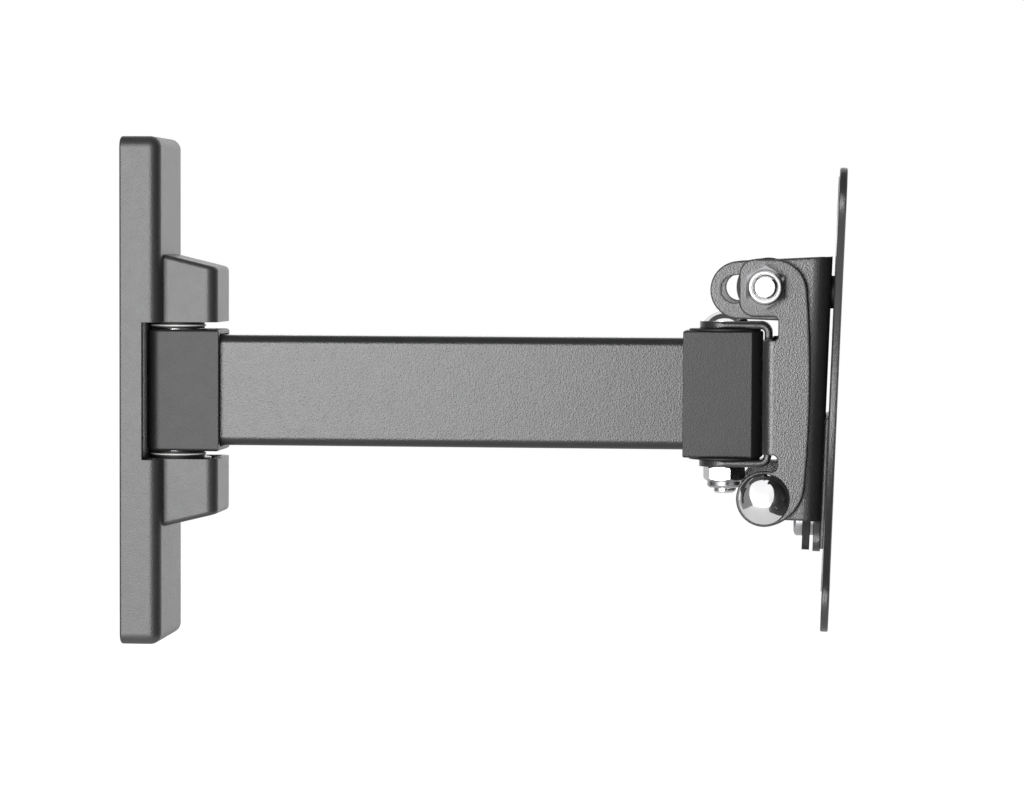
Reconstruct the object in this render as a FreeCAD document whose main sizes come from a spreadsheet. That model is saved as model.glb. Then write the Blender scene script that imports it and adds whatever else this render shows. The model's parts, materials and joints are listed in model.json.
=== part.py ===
import FreeCAD, Part
import math
import os
import Sketcher
from types import SimpleNamespace

# Swivel wall mount for a screen, with one arm.
# X points out of the wall, Y to the side and Z up. The origin is in the middle of the wall plate's back face.
# Lengths are in millimetres and angles in degrees.

# Driving dimensions: name, value and what it is.
DIMENSIONS = [
    # Fits
    ("run_fit", 0.05, "radial gap of a pin or bolt in its bore"),
    ("seat_fit", 0.03, "radial gap of a bush or ring in its seat"),
    ("cover_fit", 0.2, "gap between a moulded cover and what it covers"),
    ("weld_gap", 0.1, "gap between the barrel and the coped tube"),
    # Wall side
    ("plate_thickness", 2.5, "steel wall plate"),
    ("plate_corner", 2.0, "wall plate corner radius"),
    ("wall_screw_spacing", 100.0, "distance between the wall screw holes"),
    ("wall_screw_hole", 6.5, "wall screw hole diameter"),
    ("cover_width", 33.0, "wall cover, sideways"),
    ("cover_height", 137.0, "wall cover, upright"),
    ("cover_depth", 11.0, "wall cover, out of the wall"),
    ("cover_wall", 2.0, "wall of the cover"),
    ("cover_rounding", 3.0, "rounded front edges of the cover"),
    ("cover_back_edge", 0.6, "rounded back edge of the cover"),
    ("notch_floor", 6.1, "height of the cover's side walls in the arm notch"),
    ("stop_rib_height", 58.0, "ribs inside the cover that rest on the wall plate"),
    ("hood_width", 22.0, "lug hood, sideways"),
    ("hood_reach", 25.5, "front of the lug hoods"),
    ("hood_tip_rise", 14.8, "height of a hood at its front"),
    ("hood_slope", 13.6, "slope of a hood's outer end"),
    ("hood_wall", 1.8, "wall of a hood"),
    ("hood_rounding", 3.0, "upright front edges of a hood"),
    ("hood_edge", 1.3, "sloped edges of a hood"),
    ("pin_axis", 13.0, "wall pin from the wall"),
    ("pin_diameter", 8.0, "wall pin"),
    ("pin_head_diameter", 12.0, "head of the wall pin"),
    ("pin_head_height", 2.5, "head of the wall pin"),
    ("pin_tail", 1.5, "wall pin below its clip groove"),
    ("clip_thickness", 1.0, "retaining clip"),
    ("clip_depth", 1.0, "depth of the clip groove"),
    ("clip_width", 2.0, "radial width of the clip outside the pin"),
    ("clip_play", 0.1, "gap each side of the clip in its groove"),
    ("sleeve_play", 2.0, "gap between the wall end sleeve and a pivot ear"),
    ("ear_thickness", 3.0, "pivot ear sheet"),
    ("ear_bend", 1.5, "inner bend radius of an ear"),
    ("ear_foot", 27.5, "height of an ear's foot on the wall plate"),
    ("ear_rivet_first", 12.5, "first rivet above an ear's inner face"),
    ("ear_rivet_pitch", 10.0, "distance between the rivets of one ear"),
    ("rivet_diameter", 5.0, "rivet shank"),
    ("rivet_head_diameter", 9.0, "rivet head"),
    ("rivet_head_height", 1.8, "rivet head"),
    # Arm
    ("arm_length", 149.1, "from the wall pin to the swivel bolt"),
    ("tube_height", 30.0, "arm tube, upright"),
    ("tube_width", 12.0, "arm tube, sideways"),
    ("tube_wall", 1.5, "arm tube wall"),
    ("tube_corner", 2.4, "outer corner radius of the arm tube"),
    ("tube_past_bolt", 6.4, "arm tube beyond the swivel bolt"),
    ("barrel_diameter", 13.0, "pivot barrel"),
    ("barrel_wall", 1.5, "pivot barrel wall"),
    ("pivot_flange_diameter", 14.4, "flange of the pivot bushes"),
    ("pivot_flange", 1.8, "flange thickness of the pivot bushes"),
    ("pivot_bush_length", 8.0, "pivot bush inside the barrel"),
    ("sleeve_width", 17.0, "wall end sleeve, sideways"),
    ("sleeve_over", 1.5, "wall end sleeve past the tube, above and below"),
    ("sleeve_reach", 12.6, "wall end sleeve in front of the pin"),
    ("sleeve_tail", 7.7, "wall end sleeve behind the pin"),
    ("sleeve_corner", 4.0, "upright corners of the sleeve at the wall"),
    ("sleeve_edge", 0.8, "rounded edges of the sleeve"),
    ("cap_over", 2.0, "head end cap past the tube, above and below"),
    ("cap_width", 14.4, "head end cap, sideways"),
    ("cap_grip", 11.0, "head end cap behind the swivel bolt"),
    ("cap_nose", 10.3, "nose radius of the cap about the swivel bolt"),
    ("cap_edge", 0.6, "rounded edges of the cap"),
    ("swivel_flange_diameter", 19.2, "flange of the swivel bushes"),
    ("swivel_flange", 0.5, "flange thickness of the swivel bushes"),
    ("swivel_bush_length", 7.0, "swivel bush below its flange"),
    # Fasteners of the head
    ("bolt_diameter", 6.0, "head bolts"),
    ("bolt_end", 1.4, "bolt end beyond its nut"),
    ("bolt_chamfer", 0.45, "chamfered tip of a head bolt"),
    ("swivel_dome_diameter", 12.5, "head of the swivel bolt"),
    ("swivel_dome_height", 3.2, "head of the swivel bolt"),
    ("tilt_dome_diameter", 13.6, "heads of the tilt bolts"),
    ("tilt_dome_height", 4.8, "heads of the tilt bolts"),
    ("nut_flats", 10.0, "lock nut across its flats"),
    ("nut_hex_height", 4.0, "hexagon of a lock nut"),
    ("nut_height", 5.8, "whole lock nut"),
    ("nut_chamfer", 0.45, "chamfer of a lock nut's corners, at its seat"),
    ("nut_crown", 0.76, "slope of a lock nut's hexagon up to its collar"),
    ("nut_collar_diameter", 9.3, "collar of a lock nut"),
    ("nut_collar_wall", 0.5, "wall and lip of the collar"),
    ("nut_lip_rounding", 0.9, "rolled lip of the collar"),
    ("nut_mouth_diameter", 7.2, "opening in the collar's lip"),
    ("swivel_nut_turn", 12.0, "turn of the swivel nut, as it was tightened"),
    ("tilt_nut_turn", 30.0, "turn of the tilt nuts, as they were tightened"),
    # Swivel head
    ("sheet", 2.0, "sheet of the clevis and the tilt bracket"),
    ("sheet_edge", 0.4, "coated edges of that sheet"),
    ("web_gap", 10.7, "from the swivel bolt to the clevis web"),
    ("tab_width", 13.6, "clevis tabs"),
    ("tab_bend", 1.0, "inner bend radius of the tabs"),
    ("tab_edge", 0.8, "rounded side edges of the tabs"),
    ("clevis_width", 52.0, "outer width of the clevis"),
    ("clevis_bend", 2.5, "outer bend radius of the clevis"),
    ("web_inset", 2.0, "clevis web ends short of the cap's top and bottom"),
    ("notch_depth", 1.4, "relief notches past the bend"),
    ("notch_rounding", 1.3, "corners of the relief notches"),
    ("pivot_reach", 11.2, "tilt bolts from the swivel bolt"),
    ("pivot_fall", 11.5, "tilt pivot bolt below the clevis web"),
    ("lock_rise", 14.0, "tilt lock bolt above the clevis web"),
    ("ear_left", 6.8, "upper clevis ear, from its bolt towards the wall"),
    ("ear_top", 7.3, "upper clevis ear above its bolt"),
    ("ear_bottom", 7.8, "upper clevis ear below its bolt"),
    ("ear_corner", 4.0, "corners of the upper clevis ear"),
    ("ear_shoulder", 8.6, "large corner of the upper clevis ear"),
    ("ear_right", 11.85, "clevis flange edge from the bolts, where it is widest"),
    ("edge_bow", 300.0, "bow radius of the clevis flange edge"),
    ("bow_height", 4.0, "widest point of that edge above the arm's middle"),
    ("low_ear_radius", 7.3, "lower clevis ear"),
    ("low_ear_blend", 11.5, "curve from the flange edge to the lower ear"),
    ("washer_thickness", 1.0, "friction washers"),
    ("upper_washer_diameter", 15.2, "friction washers at the lock bolt"),
    ("lower_washer_diameter", 13.0, "friction washers at the pivot bolt"),
    # Tilt head, in a frame at the tilt pivot
    ("rest_tilt", 2.0, "tilt at rest, top outwards"),
    ("tilt_down", 8.0, "further tilt, top outwards"),
    ("tilt_back", 6.0, "tilt back from rest"),
    ("slot_play", 0.3, "extra slot angle at each end"),
    ("slot_width", 7.1, "tilt slot"),
    ("web_reach", 15.2, "tilt bracket web from the pivot, outer face"),
    ("bracket_bend", 5.0, "outer bend radius of the tilt bracket"),
    ("tongue_radius", 7.6, "end of the slotted tongue"),
    ("tongue_reach", 8.8, "centre of the tongue's end behind the pivot"),
    ("tongue_drop", 1.1, "centre of the tongue's end below the lock bolt"),
    ("top_slope", 4.9, "rise of the tilt bracket's top edge from the tongue to the web"),
    ("bracket_ear", 7.0, "lower ear of the tilt bracket"),
    ("waist_low", 4.4, "flange edge near the pivot"),
    ("ear_slope", 5.0, "rise of the edge from the lower ear to that point"),
    ("waist_lean", 5.7, "lean of the flange edge up to the tongue"),
    ("throat_radius", 3.5, "inner corner under the tongue"),
    ("flange_bottom", 5.5, "flange below the pivot"),
    ("tail_length", 14.4, "web tail below the pivot"),
    ("tail_width", 26.0, "web tail"),
    ("tail_corner", 3.0, "corners of the web tail"),
    ("tail_shoulder", 5.0, "curve from the flange to the tail"),
    ("plate_gap", 0.8, "between the tilt bracket and the screen plate"),
    ("screen_plate_sheet", 2.0, "screen plate"),
    ("screen_lug", 9.0, "round lugs of the screen plate about the wide holes"),
    ("screen_hollow", 70.0, "hollow sides of the screen plate"),
    ("screen_plate_edge", 0.4, "rounded edges of the screen plate"),
    ("screen_hole", 5.0, "screen screw holes"),
    ("wide_pattern", 100.0, "wide square of screen holes"),
    ("narrow_pattern", 75.0, "narrow square of screen holes"),
    ("upper_rivet_inset", 0.5, "flat left between an upper rivet head and the bend"),
    ("upper_rivet_drop", 0.9, "upper plate rivets below the lock bolt"),
    ("lower_rivet_spacing", 24.0, "lower plate rivets, sideways"),
    ("lower_rivet_height", 9.0, "lower plate rivets above the pivot"),
    ("plate_rivet_head_height", 2.0, "heads of the plate rivets"),
    ("spacer_disc", 8.5, "upper spacers"),
    ("strip_width", 36.0, "lower spacer strip, sideways"),
    ("strip_top", 21.5, "lower spacer strip above the pivot"),
    ("strip_bottom", 13.0, "lower spacer strip below the pivot"),
    ("lock_screw_diameter", 5.0, "lock screw"),
    ("lock_screw_drop", 6.5, "lock screw below the pivot"),
    ("lock_head_diameter", 9.5, "head of the lock screw"),
    ("lock_head_height", 2.5, "head of the lock screw"),
    ("lock_head_crown", 1.2, "rounded part of that head"),
    ("lock_slot_width", 1.2, "cross recess of the lock screw"),
    ("lock_slot_length", 5.0, "cross recess of the lock screw"),
    ("lock_slot_depth", 1.4, "cross recess of the lock screw"),
    ("lock_plate_sheet", 2.0, "lock plate"),
    ("lock_plate_width", 16.0, "lock plate, sideways"),
    ("lock_plate_top", 1.5, "top of the lock plate below the pivot"),
    ("lock_plate_corner", 1.5, "corners of the lock plate"),
    ("lock_washer_thickness", 0.9, "washer of the lock screw"),
    ("lock_washer_diameter", 9.0, "washer of the lock screw"),
]

doc = FreeCAD.newDocument("swivel_wall_mount")
Vector = FreeCAD.Vector


class Size:
    """A number that comes from the sheet, with the expression that gives it."""

    def __init__(self, value, text):
        self.value = value
        self.text = text

    def __add__(self, other):
        return joined(self, "+", other, self.value + number(other))

    def __radd__(self, other):
        return joined(other, "+", self, number(other) + self.value)

    def __sub__(self, other):
        return joined(self, "-", other, self.value - number(other))

    def __rsub__(self, other):
        return joined(other, "-", self, number(other) - self.value)

    def __mul__(self, other):
        return joined(self, "*", other, self.value * number(other))

    def __rmul__(self, other):
        return joined(other, "*", self, number(other) * self.value)

    def __truediv__(self, other):
        return joined(self, "/", other, self.value / number(other))

    def __neg__(self):
        return Size(-self.value, f"(-1 * {self.text})")


def number(amount):
    return amount.value if isinstance(amount, Size) else float(amount)


def wording(amount):
    return amount.text if isinstance(amount, Size) else repr(float(amount))


def joined(first, sign, second, value):
    return Size(value, f"({wording(first)} {sign} {wording(second)})")


def root(amount):
    return Size(math.sqrt(amount.value), f"sqrt({amount.text})")


def sine(angle):
    return Size(math.sin(math.radians(angle.value)), f"sin({angle.text})")


def cosine(angle):
    return Size(math.cos(math.radians(angle.value)), f"cos({angle.text})")


def write_sheet():
    """Writes the driving dimensions to the sheet and returns them by name."""
    sheet = doc.addObject("Spreadsheet::Sheet", "sizes")
    named = SimpleNamespace()
    for row, (name, value, note) in enumerate(DIMENSIONS, start=1):
        sheet.set(f"A{row}", name)
        sheet.set(f"B{row}", str(value))
        sheet.setAlias(f"B{row}", name)
        sheet.set(f"C{row}", note)
        setattr(named, name, Size(value, f"sizes.{name}"))
    doc.recompute()
    return named


size = write_sheet()


def bind(thing, name, amount):
    """Sets a property from the sheet, or once from a plain number."""
    if isinstance(amount, Size):
        thing.setExpression(name, amount.text)
    else:
        setattr(thing, name, amount)


# How a piece that is made along Z is turned so that it points another way.
TURNS = {
    "+Z": FreeCAD.Rotation(),
    "-Z": FreeCAD.Rotation(Vector(1, 0, 0), 180),
    "+Y": FreeCAD.Rotation(Vector(1, 0, 0), -90),
    "-Y": FreeCAD.Rotation(Vector(1, 0, 0), 90),
    "+X": FreeCAD.Rotation(Vector(0, 1, 0), 90),
    "-X": FreeCAD.Rotation(Vector(0, 1, 0), -90),
}


def place(thing, point, pointing="+Z"):
    """Puts a piece at a point, with its own Z axis pointing the named way."""
    start = Vector(*[number(amount) for amount in point])
    thing.Placement = FreeCAD.Placement(start, TURNS[pointing])
    for letter, amount in zip("xyz", point):
        if isinstance(amount, Size):
            thing.setExpression(f"Placement.Base.{letter}", amount.text)
    return thing


class Bend:
    """A round stretch of an outline, between the corners before and after it."""

    def __init__(self, radius, left):
        self.radius = radius
        self.left = left


def arc_between(start, stop, bend):
    """Returns the arc of a bend; a left bend runs anticlockwise."""
    radius = number(bend.radius)
    chord = stop - start
    rise = math.sqrt(max(radius**2 - chord.Length**2 / 4, 0))
    side = Vector(-chord.y, chord.x, 0).normalize()
    centre = (start + stop) * 0.5 + side * (rise if bend.left else -rise)
    first, last = (start, stop) if bend.left else (stop, start)
    low = math.atan2(first.y - centre.y, first.x - centre.x)
    high = math.atan2(last.y - centre.y, last.x - centre.x)
    if high < low:
        high += 2 * math.pi
    return Part.ArcOfCircle(Part.Circle(centre, Vector(0, 0, 1), radius), low, high)


def draw(sketch, path):
    """Draws one closed outline in a sketch, with its corners and bends bound to the sheet."""
    corners = []
    bends = []
    for place_in_path, item in enumerate(path):
        if isinstance(item, Bend):
            continue
        after = path[(place_in_path + 1) % len(path)]
        corners.append(item)
        bends.append(after if isinstance(after, Bend) else None)
    points = [Vector(number(x), number(y), 0) for x, y in corners]
    first = sketch.GeometryCount
    ends = []
    for i, bend in enumerate(bends):
        start, stop = points[i], points[(i + 1) % len(points)]
        if bend is None:
            sketch.addGeometry(Part.LineSegment(start, stop), False)
        else:
            sketch.addGeometry(arc_between(start, stop, bend), False)
        ends.append((1, 2) if bend is None or bend.left else (2, 1))
    rules = []
    bound = []
    for i, corner in enumerate(corners):
        following = (i + 1) % len(corners)
        rules.append(
            Sketcher.Constraint("Coincident", first + i, ends[i][1], first + following, ends[following][0])
        )
        for kind, axis, amount in (("DistanceX", -2, corner[0]), ("DistanceY", -1, corner[1])):
            if isinstance(amount, Size):
                bound.append((len(rules), amount))
                rules.append(Sketcher.Constraint(kind, -1, 1, first + i, ends[i][0], amount.value))
            else:
                rules.append(Sketcher.Constraint("PointOnObject", first + i, ends[i][0], axis))
        if bends[i] is not None:
            bound.append((len(rules), bends[i].radius))
            rules.append(Sketcher.Constraint("Radius", first + i, number(bends[i].radius)))
    offset = sketch.ConstraintCount
    sketch.addConstraint(rules)
    for place_in_rules, amount in bound:
        bind_rule(sketch, offset + place_in_rules, amount)


def bind_rule(sketch, place_in_rules, amount):
    sketch.setExpression(f"Constraints[{place_in_rules}]", amount.text)


def new_sketch(body, plane):
    sketch = body.newObject("Sketcher::SketchObject", f"{body.Name}_outline")
    support = [feature for feature in body.Origin.OriginFeatures if feature.Role == plane]
    sketch.AttachmentSupport = [(support[0], "")]
    sketch.MapMode = "FlatFace"
    return sketch


def padded(label, plane, paths, length, start=None):
    """Pads outlines: from start along the plane's normal, or to both sides of the plane alike."""
    body = doc.addObject("PartDesign::Body", label)
    sketch = new_sketch(body, plane)
    for path in paths:
        draw(sketch, path)
    pad = body.newObject("PartDesign::Pad", f"{label}_pad")
    pad.Profile = sketch
    bind(pad, "Length", length)
    if start is None:
        pad.SideType = "Symmetric"
    elif isinstance(start, Size):
        sketch.setExpression("AttachmentOffset.Base.z", start.text)
    return body


def turned(label, path):
    """Turns an outline of radii and heights about Z."""
    body = doc.addObject("PartDesign::Body", label)
    sketch = new_sketch(body, "XZ_Plane")
    draw(sketch, path)
    turning = body.newObject("PartDesign::Revolution", f"{label}_turning")
    turning.Profile = sketch
    turning.ReferenceAxis = (sketch, ["V_Axis"])
    turning.Angle = 360
    return body


def round_edges(body, radius, chosen):
    """Rounds the edges of a body that a test picks."""
    doc.recompute()
    base = body.Tip
    names = [f"Edge{i}" for i, edge in enumerate(base.Shape.Edges, start=1) if chosen(edge)]
    rounding = body.newObject("PartDesign::Fillet", f"{body.Name}_rounding")
    rounding.Base = (base, names)
    bind(rounding, "Radius", radius)
    return body


def box(label, low, high):
    """A block between two opposite corners."""
    block = doc.addObject("Part::Box", label)
    for name, lower, upper in zip(("Length", "Width", "Height"), low, high):
        bind(block, name, upper - lower)
    return place(block, low)


def rod(label, point, pointing, radius, length):
    """A round bar from a point, pointing the named way."""
    bar = doc.addObject("Part::Cylinder", label)
    bind(bar, "Radius", radius)
    bind(bar, "Height", length)
    return place(bar, point, pointing)


def fuse(label, *pieces):
    whole = doc.addObject("Part::MultiFuse", label)
    whole.Shapes = list(pieces)
    whole.Refine = True
    return whole


def common(label, *pieces):
    shared = doc.addObject("Part::MultiCommon", label)
    shared.Shapes = list(pieces)
    shared.Refine = True
    return shared


def cut(label, base, *tools):
    rest = doc.addObject("Part::Cut", label)
    rest.Base = base
    rest.Tool = tools[0] if len(tools) == 1 else fuse(f"{label}_tools", *tools)
    rest.Refine = True
    return rest


def group(label, *pieces):
    """Like pieces kept as separate solids of one sub-part."""
    together = doc.addObject("Part::Compound", label)
    together.Links = list(pieces)
    return together


def rounded_rectangle(half_width, half_height, corner, middle=None):
    """Outline of a rectangle with round corners, its middle raised by an amount."""
    top = half_height if middle is None else middle + half_height
    bottom = -half_height if middle is None else middle - half_height
    return [
        (corner - half_width, bottom),
        (half_width - corner, bottom),
        Bend(corner, left=True),
        (half_width, bottom + corner),
        (half_width, top - corner),
        Bend(corner, left=True),
        (half_width - corner, top),
        (corner - half_width, top),
        Bend(corner, left=True),
        (-half_width, top - corner),
        (-half_width, bottom + corner),
        Bend(corner, left=True),
    ]


def upside_down(path):
    """The same outline below the first axis."""
    turned_over = []
    for item in path:
        if isinstance(item, Bend):
            turned_over.append(Bend(item.radius, not item.left))
        else:
            turned_over.append((item[0], -item[1]))
    return turned_over


def ring(label, inner, outer, low, high):
    return turned(label, [(inner, low), (outer, low), (outer, high), (inner, high)])


def dome_radius(radius, height):
    return (radius * radius + height * height) / (2 * height)


def domed_bolt(label, radius, length, head_radius, head_height, chamfer=None):
    """A bolt whose head stands on the plane at height zero, with its shank below."""
    tip = [(radius, -length)]
    if chamfer is not None:
        tip = [(radius - chamfer, -length), (radius, chamfer - length)]
    return turned(
        label,
        [
            (0, -length),
            *tip,
            (radius, 0),
            (head_radius, 0),
            Bend(dome_radius(head_radius, head_height), left=True),
            (0, head_height),
        ],
    )


# Shared places

half_plate_width = size.cover_width / 2 - size.cover_wall - size.cover_fit
half_plate_height = size.cover_height / 2 - size.cover_wall - size.cover_fit
half_tube_height = size.tube_height / 2
half_sleeve = half_tube_height + size.sleeve_over
half_cap = half_tube_height + size.cap_over
ear_in = half_sleeve + size.sleeve_play
ear_out = ear_in + size.ear_thickness
half_ear_width = size.hood_width / 2 - size.hood_wall - size.cover_fit
ear_front = size.plate_thickness + size.ear_thickness
hood_tip = ear_in + size.hood_tip_rise
pin_radius = size.pin_diameter / 2
rivet_radius = size.rivet_diameter / 2
rivet_head_radius = size.rivet_head_diameter / 2
web_half_height = half_cap - size.web_inset
pivot_drop = web_half_height + size.pivot_fall
tilt_height = web_half_height + size.lock_rise
bolt_span = tilt_height + pivot_drop
swivel_x = size.pin_axis + size.arm_length
pivot_x = swivel_x + size.pivot_reach
bolt_radius = size.bolt_diameter / 2
bolt_bore = bolt_radius + size.run_fit
tab_in = half_cap + size.swivel_flange
tab_out = tab_in + size.sheet
web_left = swivel_x + size.web_gap
web_right = web_left + size.sheet
half_clevis = size.clevis_width / 2
half_clevis_inside = half_clevis - size.sheet
half_bracket = half_clevis_inside - size.washer_thickness
bracket_half_flat = half_bracket - size.bracket_bend
plate_back = size.web_reach + size.plate_gap
plate_front = plate_back + size.screen_plate_sheet
web_inside = size.web_reach - size.sheet
beyond = 2.0
tiny = 0.01

ear_rivet_heights = [
    ear_in + size.ear_rivet_first,
    ear_in + size.ear_rivet_first + size.ear_rivet_pitch,
]


def wall_plate():
    blank = padded(
        "wall_plate_blank",
        "YZ_Plane",
        [rounded_rectangle(half_plate_width, half_plate_height, size.plate_corner)],
        size.plate_thickness,
        start=0,
    )
    holes = []
    for side in (1, -1):
        height = side * size.wall_screw_spacing / 2
        start = (-beyond, 0, height)
        holes.append(rod(f"wall_hole_{side}", start, "+X", size.wall_screw_hole / 2, ear_front + 2 * beyond))
        for i, rivet_height in enumerate(ear_rivet_heights):
            start = (-beyond, 0, side * rivet_height)
            radius = rivet_radius + size.seat_fit
            holes.append(rod(f"plate_rivet_hole_{i}_{side}", start, "+X", radius, ear_front + 2 * beyond))
    return cut("wall_plate", blank, *holes)


def pivot_ear(label, side):
    """A folded bracket: its foot stands on the wall plate and its ear holds the pin."""
    tip = size.pin_axis + half_ear_width
    outer_bend = size.ear_bend + size.ear_thickness
    path = [
        (tip, ear_in),
        (tip, ear_out),
        (ear_front + size.ear_bend, ear_out),
        Bend(size.ear_bend, left=False),
        (ear_front, ear_out + size.ear_bend),
        (ear_front, ear_in + size.ear_foot),
        (size.plate_thickness, ear_in + size.ear_foot),
        (size.plate_thickness, ear_in + outer_bend),
        Bend(outer_bend, left=True),
        (size.plate_thickness + outer_bend, ear_in),
    ]
    if side < 0:
        path = upside_down(path)
    folded = padded(f"{label}_folded", "XZ_Plane", [path], 2 * half_ear_width)
    low = -ear_in - size.ear_foot - beyond
    tall = -2 * low
    nose = rod(f"{label}_nose", (size.pin_axis, 0, low), "+Z", half_ear_width, tall)
    behind = box(f"{label}_behind", (0, -half_ear_width, low), (size.pin_axis, half_ear_width, -low))
    blank = common(f"{label}_blank", folded, fuse(f"{label}_plan", nose, behind))
    holes = [rod(f"{label}_pin_hole", (size.pin_axis, 0, low), "+Z", pin_radius + size.run_fit, tall)]
    for i, rivet_height in enumerate(ear_rivet_heights):
        start = (0, 0, side * rivet_height)
        radius = rivet_radius + size.seat_fit
        holes.append(rod(f"{label}_rivet_hole_{i}", start, "+X", radius, ear_front + beyond))
    return cut(label, blank, *holes)


def ear_rivets():
    rivets = []
    for side in (1, -1):
        for i, height in enumerate(ear_rivet_heights):
            rivet = domed_bolt(
                f"ear_rivet_{i}_{side}", rivet_radius, ear_front, rivet_head_radius, size.rivet_head_height
            )
            rivets.append(place(rivet, (ear_front, 0, side * height), "+X"))
    return group("ear_rivets", *rivets)


def wall_cover():
    """One moulding: a shallow shell with two lug hoods and a notch for the arm between them."""
    half_width = size.cover_width / 2
    half_height = size.cover_height / 2
    outside = [
        (-half_width, -half_height),
        (half_width, -half_height),
        (half_width, half_height),
        (-half_width, half_height),
    ]
    shell = padded("cover_shell", "YZ_Plane", [outside], size.cover_depth, start=0)
    round_edges(shell, size.cover_rounding, lambda edge: edge.BoundBox.XMax > tiny)
    round_edges(shell, size.cover_back_edge, lambda edge: edge.BoundBox.XMax < tiny)
    root_x = size.cover_depth / 2
    hoods = sloped_block("hoods", root_x, size.hood_reach, size.hood_width, hood_tip)
    round_edges(hoods, size.hood_rounding, is_upright_front_edge)
    round_edges(hoods, size.hood_edge, is_sloped_hood_edge)
    solid = fuse("cover_solid", shell, hoods)
    inside_y = half_width - size.cover_wall
    inside_z = half_height - size.cover_wall
    inside_x = size.cover_depth - size.cover_wall
    cavity = box("cover_cavity", (-beyond, -inside_y, -inside_z), (inside_x, inside_y, inside_z))
    hood_front = size.hood_reach - size.hood_wall
    hollow_width = size.hood_width - 2 * size.hood_wall
    hollows = sloped_block("hood_hollows", root_x, hood_front, hollow_width, hood_tip - size.hood_wall)
    notch = box(
        "arm_notch",
        (size.notch_floor, -half_width - beyond, -ear_in),
        (size.hood_reach + beyond, half_width + beyond, ear_in),
    )
    shelled = cut("cover_shelled", solid, cavity, hollows, notch)
    ribs = []
    for side in (1, -1):
        low = side * size.stop_rib_height - size.cover_wall / 2
        corner = (size.plate_thickness, -inside_y, low)
        opposite = (inside_x, inside_y, low + size.cover_wall)
        ribs.append(box(f"stop_rib_{side}", corner, opposite))
    return fuse("wall_cover", shelled, *ribs)


def sloped_block(label, start, stop, width, half_height):
    """A block out of the wall whose top and underside slope together towards its front."""
    rise = half_height + (stop - start) * sine(size.hood_slope) / cosine(size.hood_slope)
    outline = [(start, -rise), (stop, -half_height), (stop, half_height), (start, rise)]
    return padded(label, "XZ_Plane", [outline], width)


def is_upright_front_edge(edge):
    bounds = edge.BoundBox
    return bounds.XMin > size.hood_reach.value - tiny and bounds.YLength < tiny


def is_sloped_hood_edge(edge):
    bounds = edge.BoundBox
    outer = min(abs(bounds.ZMin), abs(bounds.ZMax)) > hood_tip.value - tiny
    return outer and bounds.XMax > size.cover_depth.value + tiny


def wall_pivot_pin():
    """Headed pin with a groove for its clip, standing in both ears."""
    groove_top = -ear_out - size.clip_play
    groove_bottom = groove_top - size.clip_thickness - 2 * size.clip_play
    head_radius = size.pin_head_diameter / 2
    return turned(
        "wall_pivot_pin",
        [
            (0, groove_bottom - size.pin_tail),
            (pin_radius, groove_bottom - size.pin_tail),
            (pin_radius, groove_bottom),
            (pin_radius - size.clip_depth, groove_bottom),
            (pin_radius - size.clip_depth, groove_top),
            (pin_radius, groove_top),
            (pin_radius, ear_out),
            (head_radius, ear_out),
            (head_radius, ear_out + size.pin_head_height),
            (0, ear_out + size.pin_head_height),
        ],
    )


def pivot_pin_clip():
    top = -ear_out - 2 * size.clip_play
    bottom = top - size.clip_thickness
    inner = pin_radius - size.clip_depth + size.seat_fit
    outer = pin_radius + size.clip_width
    whole = place(ring("clip_ring", inner, outer, bottom, top), (size.pin_axis, 0, 0))
    mouth = box(
        "clip_mouth",
        (size.pin_axis, -inner * 0.8, bottom - beyond),
        (size.pin_axis + outer + beyond, inner * 0.8, top + beyond),
    )
    return cut("pivot_pin_clip", whole, mouth)


barrel_radius = size.barrel_diameter / 2
barrel_bore = barrel_radius - size.barrel_wall
half_barrel = ear_in - size.pivot_flange
half_tube_width = size.tube_width / 2
tube_end = swivel_x + size.tube_past_bolt
swivel_bush_radius = half_tube_width - size.tube_wall - size.cover_fit


def arm_tube():
    """Flat rectangular tube, coped at the wall end to meet the barrel."""
    outer = rounded_rectangle(half_tube_width, half_tube_height, size.tube_corner)
    inner = rounded_rectangle(
        half_tube_width - size.tube_wall, half_tube_height - size.tube_wall, size.tube_corner - size.tube_wall
    )
    length = tube_end - size.pin_axis
    blank = padded("arm_tube_blank", "YZ_Plane", [outer, inner], length, start=size.pin_axis)
    cope_radius = barrel_radius + size.weld_gap
    cope = rod("tube_cope", (size.pin_axis, 0, -size.tube_height), "+Z", cope_radius, 2 * size.tube_height)
    start = (swivel_x, 0, -size.tube_height)
    bore = rod("tube_bush_hole", start, "+Z", swivel_bush_radius + size.seat_fit, 2 * size.tube_height)
    return cut("arm_tube", blank, cope, bore)


def pivot_barrel():
    barrel = ring("pivot_barrel", barrel_bore, barrel_radius, -half_barrel, half_barrel)
    return place(barrel, (size.pin_axis, 0, 0))


def pivot_bush(label, side):
    bore = pin_radius + size.run_fit
    outside = barrel_bore - size.seat_fit
    flange = size.pivot_flange_diameter / 2
    bush = flanged_bush(label, bore, outside, size.pivot_bush_length, flange, size.pivot_flange)
    return place(bush, (size.pin_axis, 0, side * half_barrel), "+Z" if side > 0 else "-Z")


def flanged_bush(label, bore, outside, length, flange, flange_thickness):
    """A bush whose flange stands on the plane at height zero."""
    return turned(
        label,
        [
            (bore, -length),
            (outside, -length),
            (outside, 0),
            (flange, 0),
            (flange, flange_thickness),
            (bore, flange_thickness),
        ],
    )


def tube_room(label, start, stop):
    """The room that a moulded piece leaves for the arm tube."""
    side = half_tube_width + size.cover_fit
    top = half_tube_height + size.cover_fit
    return box(label, (start, -side, -top), (stop, side, top))


def is_level_rim(edge):
    """Edges round the top and the bottom of an upright moulding."""
    return edge.BoundBox.ZLength < tiny


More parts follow.
